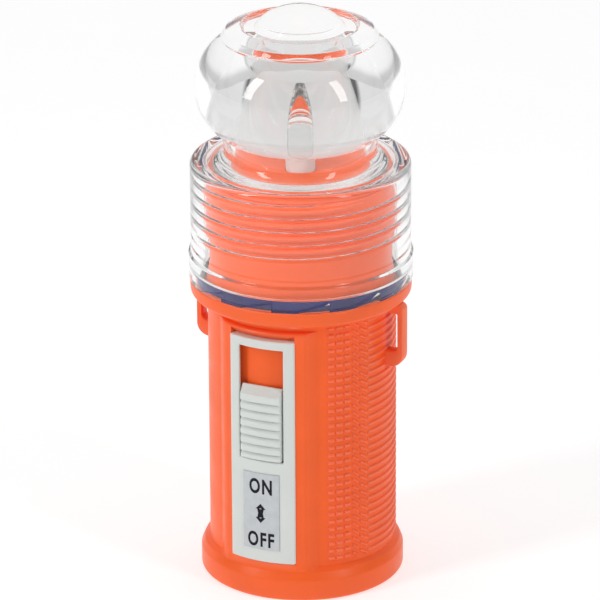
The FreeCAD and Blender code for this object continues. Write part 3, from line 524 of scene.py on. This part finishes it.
def between(low, high, steps):
    """Evenly spaced values from low to high."""
    return list(np.linspace(low, high, steps))


def build_bezel():
    """White switch frame: window, a seat for the label and a rebate behind for the slider."""
    left, right, low, high = WINDOW
    half = bezel_high.x
    seat = (label_low.x - 0.12, label_high.x + 0.12, label_low.z - 0.1, label_high.z + 0.1)
    x_lines = sorted(set(between(-half, -5.5, 3) + [-5.5, left, seat[0]] + between(seat[0], seat[1], 9)
                         + [seat[1], right, 5.5] + between(5.5, half, 3)))
    z_lines = sorted(set([bezel_low.z, seat[2], seat[3], low - 0.8, low, high, high + 0.8,
                          bezel_high.z] + between(seat[2], seat[3], 4) + between(low, high, 5)))

    def keep(x, z):
        return not (left < x < right and low < z < high)

    def front(x, z):
        in_seat = seat[0] - 0.01 < x < seat[1] + 0.01 and seat[2] - 0.01 < z < seat[3] + 0.01
        return BEZEL_R - (0.17 if in_seat else 0)

    def back(x, z):
        in_rebate = abs(x) < 5.51 and low - 0.01 < z < high + 0.01
        return 19.75 if in_rebate else RECESS_R + 0.05

    build = Build()
    add_plate(build, x_lines, z_lines, keep, front, back)
    return build


def build_knob():
    """Slider: a convex face with grooves, a sloped top, and ears in the frame's rebate."""
    grooves = 7
    half = WINDOW[1] - 0.4
    low, high = knob_low.z, knob_high.z
    back, face = -knob_high.y, -knob_low.y
    edge = high - 1.6                   # top of the front face
    step = (edge - low - 0.35) / 7.45
    profile = [(back, low), (back, high - 0.1), (back + 0.1, high), (back + 0.45, high),
               (face - 0.35, edge + 0.22), (face - 0.12, edge + 0.08), (face, edge - 0.25)]
    for i in range(grooves):
        groove = edge - 0.45 - step * (i + 0.72)
        profile += [(face, groove + 0.6), (face - 0.1, groove + 0.32), (face - 0.7, groove),
                    (face - 0.5, groove - 0.2), (face - 0.1, groove - 0.38),
                    (face, groove - 0.6)]
    profile += [(face, low + 0.3), (face - 0.12, low + 0.08), (face - 0.4, low)]
    lines = [-half, -half + 0.12, -half + 0.35] + between(-half + 1, half - 1, 11)
    lines += [half - 0.35, half - 0.12, half]
    drops = [0.4, 0.1, 0.0] + [0.0] * 11 + [0.0, 0.1, 0.4]
    rows = []
    for x, drop in zip(lines, drops):
        for depth, z in profile:
            share = (depth - back) / (face - back)
            sag = (face - math.sqrt(face ** 2 - x ** 2)) * share
            rows.append((x, -(depth - sag - drop * share), z))
    count = len(profile)
    faces = grid_faces(len(lines), count, False, True)
    faces.append(tuple(range(count)))
    faces.append(tuple(reversed(range((len(lines) - 1) * count, len(lines) * count))))
    build = Build()
    build.add(rows, faces)
    for sign in (-1, 1):
        box = [(sign * x, -math.sqrt(reach ** 2 - x ** 2), z)
               for x in (half - 0.3, half + 0.6) for reach in (19.3, 19.6)
               for z in (low + 0.2, high - 2)]
        build.add(box, [(0, 1, 3, 2), (4, 6, 7, 5), (0, 4, 5, 1), (2, 3, 7, 6), (0, 2, 6, 4),
                        (1, 5, 7, 3)])
    return build


def build_label():
    """Thin curved label plate."""
    build = Build()
    outer = -label_low.y
    x_lines = between(label_low.x, label_high.x, 13)
    z_lines = between(label_low.z, label_high.z, 5)
    add_plate(build, x_lines, z_lines, lambda x, z: True,
              lambda x, z: outer, lambda x, z: outer - 0.14)
    return build


def letters(text, height, centre_z, squeeze=1.0):
    """Flat letter outlines, filled: points (x, z) and faces, centred on the label."""
    curve = bpy.data.curves.new("letters", "FONT")
    curve.body = text
    curve.align_x = "CENTER"
    curve.size = 1.0
    curve.offset = 0.03
    curve.resolution_u = 6
    curve.space_character = 1.2
    maker = bpy.data.objects.new("letters", curve)
    bpy.context.scene.collection.objects.link(maker)
    mesh = bpy.data.meshes.new_from_object(maker)
    bpy.data.objects.remove(maker)
    bpy.data.curves.remove(curve)
    points = np.array([v.co[:2] for v in mesh.vertices])
    low, high = points.min(axis=0), points.max(axis=0)
    scale = height / (high[1] - low[1])
    points = (points - (low + high) / 2) * scale
    points[:, 0] *= squeeze
    points[:, 1] += centre_z
    faces = [tuple(f.vertices) for f in mesh.polygons]
    bpy.data.meshes.remove(mesh)
    return points, faces


def add_print(build, points, faces):
    """Raise a flat (x, z) print off the label as a thin closed skin."""
    outer = -label_low.y
    count = len(points)
    solid = []
    for radius in (outer + 0.025, outer - 0.02):
        solid += [(x, -math.sqrt(radius ** 2 - x ** 2), z) for x, z in points]
    edges = {}
    for face in faces:
        for a, b in zip(face, face[1:] + face[:1]):
            edges[frozenset((a, b))] = None if frozenset((a, b)) in edges else (a, b)
    walls = [(b, a, a + count, b + count) for ab in edges.values() if ab for a, b in [ab]]
    build.add(solid, [tuple(f) for f in faces]
              + [tuple(i + count for i in reversed(f)) for f in faces] + walls)


def build_print():
    """ON and OFF with a double arrow between them."""
    build = Build()
    for text, height, z, squeeze in (("ON", 3.4, 25.0, 0.69), ("OFF", 3.3, 13.1, 0.70)):
        add_print(build, *letters(text, height, z, squeeze))
    middle, reach, wide, stem, head = 19.0, 2.15, 1.12, 0.62, 1.2
    for sign in (-1, 1):
        points = np.array([(0, middle + sign * reach), (wide, middle + sign * (reach - head)),
                           (stem + 0.12, middle + sign * (reach - head)),
                           (stem - 0.1, middle), (-stem + 0.1, middle),
                           (-stem - 0.12, middle + sign * (reach - head)),
                           (-wide, middle + sign * (reach - head))])
        add_print(build, points, [(0, 1, 6), (1, 2, 5, 6), (2, 3, 4, 5)])
    return build


# ---------------------------------------------------------------- lamp module

def build_deck():
    """Orange deck that rests on the neck, with three bosses for the board."""
    hole = post_high.x - 1.05
    under = NECK_TOP - 0.8
    build = Build()
    add_lathe(build, rounded([
        (hole, under + 0.5), (hole, under, 0.15), (16.2, under), (16.2, 77.5, 0.2),
        (17.2, 77.5, 0.2), (17.2, NECK_TOP + 0.05, 0.1), (deck_high.x, NECK_TOP + 0.05, 0.2),
        (deck_high.x, deck_high.z, 0.4), (hole, deck_high.z, 0.25), (hole, under + 0.6),
    ]), 2.5)
    foot = deck_low.z
    for turn in (30, 150, 270):
        x, y = (12.5 * f(math.radians(turn)) for f in (math.cos, math.sin))
        boss = Build()
        add_lathe(boss, rounded([
            (0.85, foot + 4), (0.85, foot, 0.1), (2.1, foot, 0.2), (2.1, under + 0.1),
            (0.3, under + 0.1), (0.85, foot + 7)]), 15)
        build.add(np.array(boss.points) + np.array([x, y, 0]), boss.faces)
    return build


def build_post():
    """Pale tube that carries the LED, flanged under the deck."""
    bore, wall = 1.9, post_high.x - 1.1
    build = Build()
    add_lathe(build, rounded([
        (bore, post_low.z + 1), (bore, post_low.z, 0.15), (post_high.x, post_low.z, 0.2),
        (post_high.x, post_low.z + 1.1, 0.2), (wall, post_low.z + 1.15, 0.1),
        (wall, post_high.z, 0.25), (bore, post_high.z, 0.15), (bore, post_low.z + 1.1),
    ]), 4.0)
    return build


def build_led():
    """Clear LED moulding: rim, body and round tip."""
    rim, body = led_high.x, led_high.x - 0.4
    low, tip = led_low.z, led_high.z
    build = Build()
    add_lathe(build, rounded([
        (0, low), (rim, low, 0.1), (rim, low + 1.0, 0.15), (body, low + 1.0, 0.12),
        (body, tip - body)], steps=3) + bulge((body, tip - body), (0, tip), body, 14), 4.0)
    return build


# ---------------------------------------------------------------- materials

def node(tree, kind, settings=None, **inputs):
    """A shader node with its settings made and its inputs set or linked."""
    made = tree.nodes.new("ShaderNode" + kind)
    for key, value in (settings or {}).items():
        setattr(made, key, value)
    for key, value in inputs.items():
        socket = made.inputs[key.replace("_", " ")]
        if isinstance(value, bpy.types.NodeSocket):
            tree.links.new(value, socket)
        else:
            socket.default_value = value
    return made


def noise(tree, size, detail=2.0, stretch=(1, 1, 1)):
    """Noise with features of about that many millimetres."""
    place = node(tree, "TexCoord").outputs["Object"]
    if stretch != (1, 1, 1):
        place = node(tree, "Mapping", Vector=place, Scale=stretch).outputs["Vector"]
    return node(tree, "TexNoise", Vector=place, Scale=1 / (size * MM), Detail=detail).outputs[0]


def span(tree, value, low, high):
    """A noise value spread between two numbers."""
    return node(tree, "MapRange", Value=value, From_Min=0.3, From_Max=0.7, To_Min=low,
                To_Max=high).outputs[0]


def surface(name, colour, rough=0.4, mottle=0.05, mottle_size=6.0, rough_spread=0.06,
            grain=0.03, grain_size=0.25, stretch=(1, 1, 1), edge=0.0, **plain):
    """Principled finish: clouded colour, uneven gloss, a fine bump and a painted highlight that pales
    sharp edges.
    """
    mat = bpy.data.materials.new(name)
    mat.use_nodes = True
    tree = mat.node_tree
    shader = tree.nodes["Principled BSDF"]
    ramp = node(tree, "ValToRGB", Fac=noise(tree, mottle_size, 3.0, stretch))
    stops = ramp.color_ramp.elements
    stops[0].position, stops[1].position = 0.3, 0.7
    stops[0].color = [c * (1 - mottle) for c in colour] + [1]
    stops[1].color = [min(1, c * (1 + mottle) + mottle * 0.03) for c in colour] + [1]
    tint = ramp.outputs["Color"]
    # painted highlight: sharp edges (found by pointiness) are mixed towards a paler colour, standing
    # in for rim highlights
    if edge:
        edge_highlight = node(tree, "MapRange", Value=node(tree, "NewGeometry").outputs["Pointiness"],
                    From_Min=0.5, From_Max=0.62, To_Min=0.0, To_Max=edge).outputs[0]
        pale = [c + (1 - c) * 0.45 for c in colour] + [1]
        mixer = node(tree, "Mix", {"data_type": "RGBA"})
        tree.links.new(edge_highlight, mixer.inputs[0])
        tree.links.new(tint, mixer.inputs[6])
        mixer.inputs[7].default_value = pale
        tint = mixer.outputs[2]
    tree.links.new(tint, shader.inputs["Base Color"])
    tree.links.new(span(tree, noise(tree, mottle_size * 0.6, 4.0, stretch), rough - rough_spread,
                        rough + rough_spread), shader.inputs["Roughness"])
    bump = node(tree, "Bump", Strength=1.0, Distance=grain * MM,
                Height=noise(tree, grain_size, 3.0, stretch))
    tree.links.new(bump.outputs["Normal"], shader.inputs["Normal"])
    for key, value in plain.items():
        shader.inputs[key.replace("_", " ")].default_value = value
    return mat


def glass(name, colour, ior, rough=0.0, wave=0.002, wave_size=5.0, haze=0.02):
    """Clear moulding: faint flow waves and slightly uneven polish."""
    mat = bpy.data.materials.new(name)
    mat.use_nodes = True
    tree = mat.node_tree
    shader = tree.nodes["Principled BSDF"]
    shader.inputs["Base Color"].default_value = (*colour, 1)
    shader.inputs["Transmission Weight"].default_value = 1.0
    shader.inputs["IOR"].default_value = ior
    tree.links.new(span(tree, noise(tree, 3.0, 4.0), rough, rough + haze),
                   shader.inputs["Roughness"])
    bump = node(tree, "Bump", Strength=1.0, Distance=wave * MM,
                Height=noise(tree, wave_size, 1.0))
    tree.links.new(bump.outputs["Normal"], shader.inputs["Normal"])
    return mat


ORANGE = (0.96, 0.125, 0.018)
# edge= sets how strongly a painted highlight pales the sharp edges
MATERIALS = {
    "orange_plastic": surface("orange_plastic", ORANGE, 0.36, mottle=0.035, mottle_size=9,
                              grain=0.006, grain_size=0.35, edge=0.25,
                              Specular_IOR_Level=0.25),
    "clear_plastic": glass("clear_plastic", (0.962, 0.968, 0.965), 1.49),
    "navy_rubber": surface("navy_rubber", (0.008, 0.008, 0.12), 0.6, mottle=0.2, grain=0.02,
                           Specular_IOR_Level=0.1),
    "white_plastic": surface("white_plastic", (0.68, 0.715, 0.685), 0.38, mottle=0.02,
                             grain=0.005, grain_size=0.3, edge=0.2),
    "label_silver": surface("label_silver", (0.55, 0.58, 0.60), 0.42, mottle=0.05,
                            mottle_size=1.5, grain=0.006, grain_size=0.12, Metallic=0.25),
    "label_ink": surface("label_ink", (0.008, 0.008, 0.018), 0.6, mottle=0.3, mottle_size=0.8,
                         grain=0.008, grain_size=0.1, Specular_IOR_Level=0.15),
    "pale_plastic": surface("pale_plastic", (0.62, 0.60, 0.58), 0.42, mottle=0.05,
                            mottle_size=3, grain=0.008),
    "led_epoxy": glass("led_epoxy", (0.97, 0.98, 0.97), 1.53, wave=0.001, wave_size=2),
    "magnet": surface("magnet", (0.5, 0.5, 0.52), 0.25, mottle=0.08, grain=0.003, Metallic=1.0),
    "spring_steel": surface("spring_steel", (0.6, 0.6, 0.62), 0.3, mottle=0.06, grain=0.004,
                            stretch=(1, 1, 6), Metallic=1.0),
    "plated_steel": surface("plated_steel", (0.78, 0.78, 0.79), 0.16, mottle=0.06,
                            mottle_size=1.2, grain=0.003, grain_size=0.1, Metallic=1.0),
    "led_die": surface("led_die", (0.85, 0.8, 0.35), 0.6, mottle=0.1, mottle_size=0.1),
    "board_green": surface("board_green", (0.03, 0.22, 0.09), 0.35, mottle=0.15, grain=0.006),
    "black_plastic": surface("black_plastic", (0.03, 0.03, 0.034), 0.5, mottle=0.2,
                             grain=0.01, grain_size=0.1),
    "ferrite": surface("ferrite", (0.08, 0.08, 0.09), 0.6, mottle=0.25, grain=0.02),
    "can_aluminium": surface("can_aluminium", (0.78, 0.79, 0.8), 0.3, mottle=0.05,
                             grain=0.003, stretch=(1, 1, 8), Metallic=1.0),
    "ceramic_black": surface("ceramic_black", (0.08, 0.08, 0.085), 0.35, mottle=0.2),
    "screw_steel": surface("screw_steel", (0.66, 0.65, 0.62), 0.28, mottle=0.08, grain=0.003,
                           Metallic=1.0),
    "reed_glass": glass("reed_glass", (0.8, 0.93, 0.85), 1.5, wave=0.001, wave_size=1.5),
    "wire_insulation": surface("wire_insulation", (0.5, 0.03, 0.03), 0.4, mottle=0.1,
                               grain=0.005),
    "contact_brass": surface("contact_brass", (0.78, 0.56, 0.24), 0.25, mottle=0.1,
                             mottle_size=3, grain=0.003, Metallic=1.0),
    "can_steel": surface("can_steel", (0.68, 0.68, 0.7), 0.24, mottle=0.06, grain=0.003,
                         stretch=(1, 1, 8), Metallic=1.0),
    "cell_core": surface("cell_core", (0.03, 0.03, 0.032), 0.9, mottle=0.3, grain=0.05),
    "jacket_film": surface("jacket_film", (0.05, 0.05, 0.06), 0.25, mottle=0.15, grain=0.004),
    "seal_nylon": surface("seal_nylon", (0.1, 0.1, 0.11), 0.5, mottle=0.15),
    "foam": surface("foam", (0.12, 0.12, 0.13), 0.9, mottle=0.35, mottle_size=1, grain=0.15,
                    grain_size=0.6),
}


# ---------------------------------------------------------------- put the pieces together

def place(name, build, body, slot, stands_for=(), sharp=34, finish=None):
    """Make a piece from its points and faces, with the finish of its material slot."""
    return make_piece(name, body, MATERIALS[finish or slot], build.points, build.faces, sharp,
                      stands_for)


place("barrel_shell", build_shell(), "body", "orange_plastic", ["body_shell"])
lens = place("clear_lens", build_lens(), "cap", "clear_plastic", ["lens_cap"], sharp=40)
place("lens_seal", build_seal(), "seal", "navy_rubber", ["seal_ring"])
bezel = place("switch_frame", build_bezel(), "body", "white_plastic", ["switch_bezel"])
place("switch_knob", build_knob(), "switch", "white_plastic", ["slide_knob"])
place("label_plate", build_label(), "body", "label_silver", ["switch_label"])
place("label_print", build_print(), "body", "black_plastic", finish="label_ink")
place("deck", build_deck(), "body", "orange_plastic", ["lamp_deck"])
place("post", build_post(), "body", "pale_plastic", ["lamp_post"])
led = place("led_moulding", build_led(), "body", "led_epoxy", ["led_lens"])

bevel = bezel.modifiers.new("edges", "BEVEL")
bevel.width = 0.28 * MM
bevel.segments = 3
bevel.limit_method = "ANGLE"
bevel.angle_limit = math.radians(50)
bevel.harden_normals = False

for glassy in (lens, led):
    glassy.visible_shadow = False

slot_of = {part["node"]: part["material_slot"] for part in frame["record"]["subparts"]}
for name, thing in nodes.items():
    thing.data.materials.clear()
    thing.data.materials.append(MATERIALS[slot_of[name]])


# ---------------------------------------------------------------- floor, light and camera

CAMERA_TURN = 24.5                      # the camera's way round from the switch side
CAMERA_AWAY = 1.040
CAMERA_HIGH = 0.475
CAMERA_ROLL = -0.30


def build_floor():
    """A wide pale floor, a little dimmer far out."""
    half = 12.0
    mesh = bpy.data.meshes.new("floor")
    mesh.from_pydata([(-half, -half, -0.0001), (half, -half, -0.0001), (half, half, -0.0001),
                      (-half, half, -0.0001)], [], [(0, 1, 2, 3)])
    floor = bpy.data.objects.new("floor", mesh)
    bpy.context.scene.collection.objects.link(floor)
    mat = surface("floor_paint", (0.55, 0.55, 0.55), 0.8, mottle=0.01, mottle_size=60, grain=0.0)
    shader = mat.node_tree.nodes["Principled BSDF"]
    shader.inputs["Emission Color"].default_value = (1, 1, 1, 1)
    tree = mat.node_tree
    away = node(tree, "VectorMath", {"operation": "LENGTH"},
                Vector=node(tree, "TexCoord").outputs["Object"]).outputs["Value"]
    glow = node(tree, "MapRange", Value=away, From_Min=0.5, From_Max=0.9, To_Min=0.57,
                To_Max=0.3).outputs[0]
    tree.links.new(glow, shader.inputs["Emission Strength"])
    mesh.materials.append(mat)


def area_light(name, position, size, power):
    """A soft box aimed at the object's middle; sizes in metres."""
    light = bpy.data.lights.new(name, "AREA")
    light.shape = "RECTANGLE"
    light.size, light.size_y = size
    light.energy = power
    lamp = bpy.data.objects.new(name, light)
    lamp.location = position
    aim = Vector((0, 0, 0.06)) - Vector(position)
    lamp.rotation_euler = aim.to_track_quat("-Z", "Y").to_euler()
    lamp.visible_camera = False
    lamp.visible_transmission = False
    bpy.context.scene.collection.objects.link(lamp)


def set_ramp(ramp, stops):
    """Grey stops along a colour ramp."""
    band = ramp.color_ramp
    while len(band.elements) < len(stops):
        band.elements.new(0.5)
    for element, (place, grey) in zip(band.elements, stops):
        element.position = place
    for element, (place, grey) in zip(band.elements, stops):
        element.color = (grey, grey, grey, 1)


def build_world():
    """Bright room behind the object, dimmer in front, with two dark strips beside it."""
    world = bpy.data.worlds.new("studio")
    bpy.context.scene.world = world
    world.use_nodes = True
    tree = world.node_tree
    back = tree.nodes["Background"]
    way = node(tree, "TexCoord").outputs["Generated"]
    turned = node(tree, "VectorRotate", {"rotation_type": "Z_AXIS"}, Vector=way,
                  Angle=-math.radians(CAMERA_TURN))
    parts = node(tree, "SeparateXYZ", Vector=turned.outputs[0])
    room = node(tree, "ValToRGB", Fac=node(
        tree, "MapRange", Value=parts.outputs["Y"], From_Min=-1, From_Max=1).outputs[0])
    set_ramp(room, [(0.0, 0.2), (0.3, 0.24), (0.42, 0.62), (0.6, 0.78), (1.0, 0.78)])
    sides = node(tree, "ValToRGB", Fac=node(
        tree, "MapRange", Value=parts.outputs["X"], From_Min=-1, From_Max=1).outputs[0])
    set_ramp(sides, [(0.0, 0.08), (0.02, 0.1), (0.055, 1.0), (0.925, 1.0), (0.96, 0.12),
                     (1.0, 0.2)])
    both = node(tree, "VectorMath", {"operation": "MULTIPLY"})
    tree.links.new(room.outputs[0], both.inputs[0])
    tree.links.new(sides.outputs[0], both.inputs[1])
    tree.links.new(both.outputs[0], back.inputs["Color"])
    back.inputs["Strength"].default_value = 1.0


def build_camera():
    """A long lens looking slightly down at the switch side."""
    turn = math.radians(CAMERA_TURN)
    data = bpy.data.cameras.new("camera")
    data.sensor_width = 36
    data.lens = 326.1
    data.clip_start, data.clip_end = 0.1, 60
    camera = bpy.data.objects.new("camera", data)
    camera.location = (CAMERA_AWAY * math.sin(turn), -CAMERA_AWAY * math.cos(turn), CAMERA_HIGH)
    across = Vector((math.cos(turn), math.sin(turn), 0))
    aim = Vector((0, 0, 0.05867)) - across * 0.00025
    look = (aim - camera.location).to_track_quat("-Z", "Y")
    roll = Matrix.Rotation(math.radians(CAMERA_ROLL), 4, "Z").to_quaternion()
    camera.rotation_mode = "QUATERNION"
    camera.rotation_quaternion = look @ roll
    bpy.context.scene.collection.objects.link(camera)
    bpy.context.scene.camera = camera


def around(angle, away, high):
    """A place round the object, by angle from the switch."""
    turn = math.radians(angle)
    return (away * math.sin(turn), -away * math.cos(turn), high)


build_floor()
build_world()
area_light("left_box", around(-35, 0.75, 0.5), (0.16, 0.6), 2.9)
area_light("right_box", around(72, 0.75, 0.5), (0.14, 0.6), 1.9)
build_camera()

scene = bpy.context.scene
scene.view_settings.view_transform = "Standard"
scene.cycles.max_bounces = 24
scene.cycles.transmission_bounces = 24
scene.cycles.glossy_bounces = 12
scene.cycles.diffuse_bounces = 4
scene.cycles.use_denoising = True
